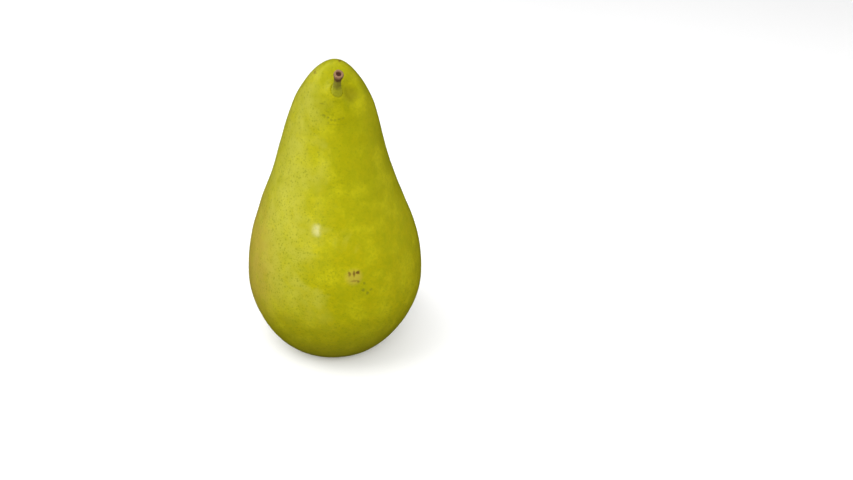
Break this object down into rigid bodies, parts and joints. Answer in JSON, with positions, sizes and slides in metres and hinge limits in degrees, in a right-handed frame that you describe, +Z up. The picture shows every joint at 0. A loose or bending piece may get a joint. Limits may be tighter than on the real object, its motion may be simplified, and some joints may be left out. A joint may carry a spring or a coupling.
{
  "type": "pear",
  "caption": "Ripe yellow-green pear with a nodding neck, a short woody stem and a dried calyx in the eye, standing upright on the rim around the eye.",
  "frame": {"origin": "on the surface that the pear stands on, under the middle of its bounding box", "axes": "+Z is up along the fruit from the eye to the crown; -Y is the side that the neck and stem nod towards; +X is to the right of someone who looks at that side"},
  "size_m": [0.066, 0.066, 0.1174],
  "materials": {
    "pear_skin": "satin, waxy yellow-green skin with fine darker dots",
    "stem_bark": "rough bark, green and fleshy at the foot, brown at the knob",
    "dry_sepal": "matte, dry and papery",
    "dry_stamen": "matte, dry and fibrous"
  },
  "bodies": {
    "root": {"fruit": "pear_skin", "stem": "stem_bark", "sepal_1": "dry_sepal", "sepal_2": "dry_sepal", "sepal_3": "dry_sepal", "sepal_4": "dry_sepal", "sepal_5": "dry_sepal", "stamen_tuft": "dry_stamen"}
  },
  "joints": []
}
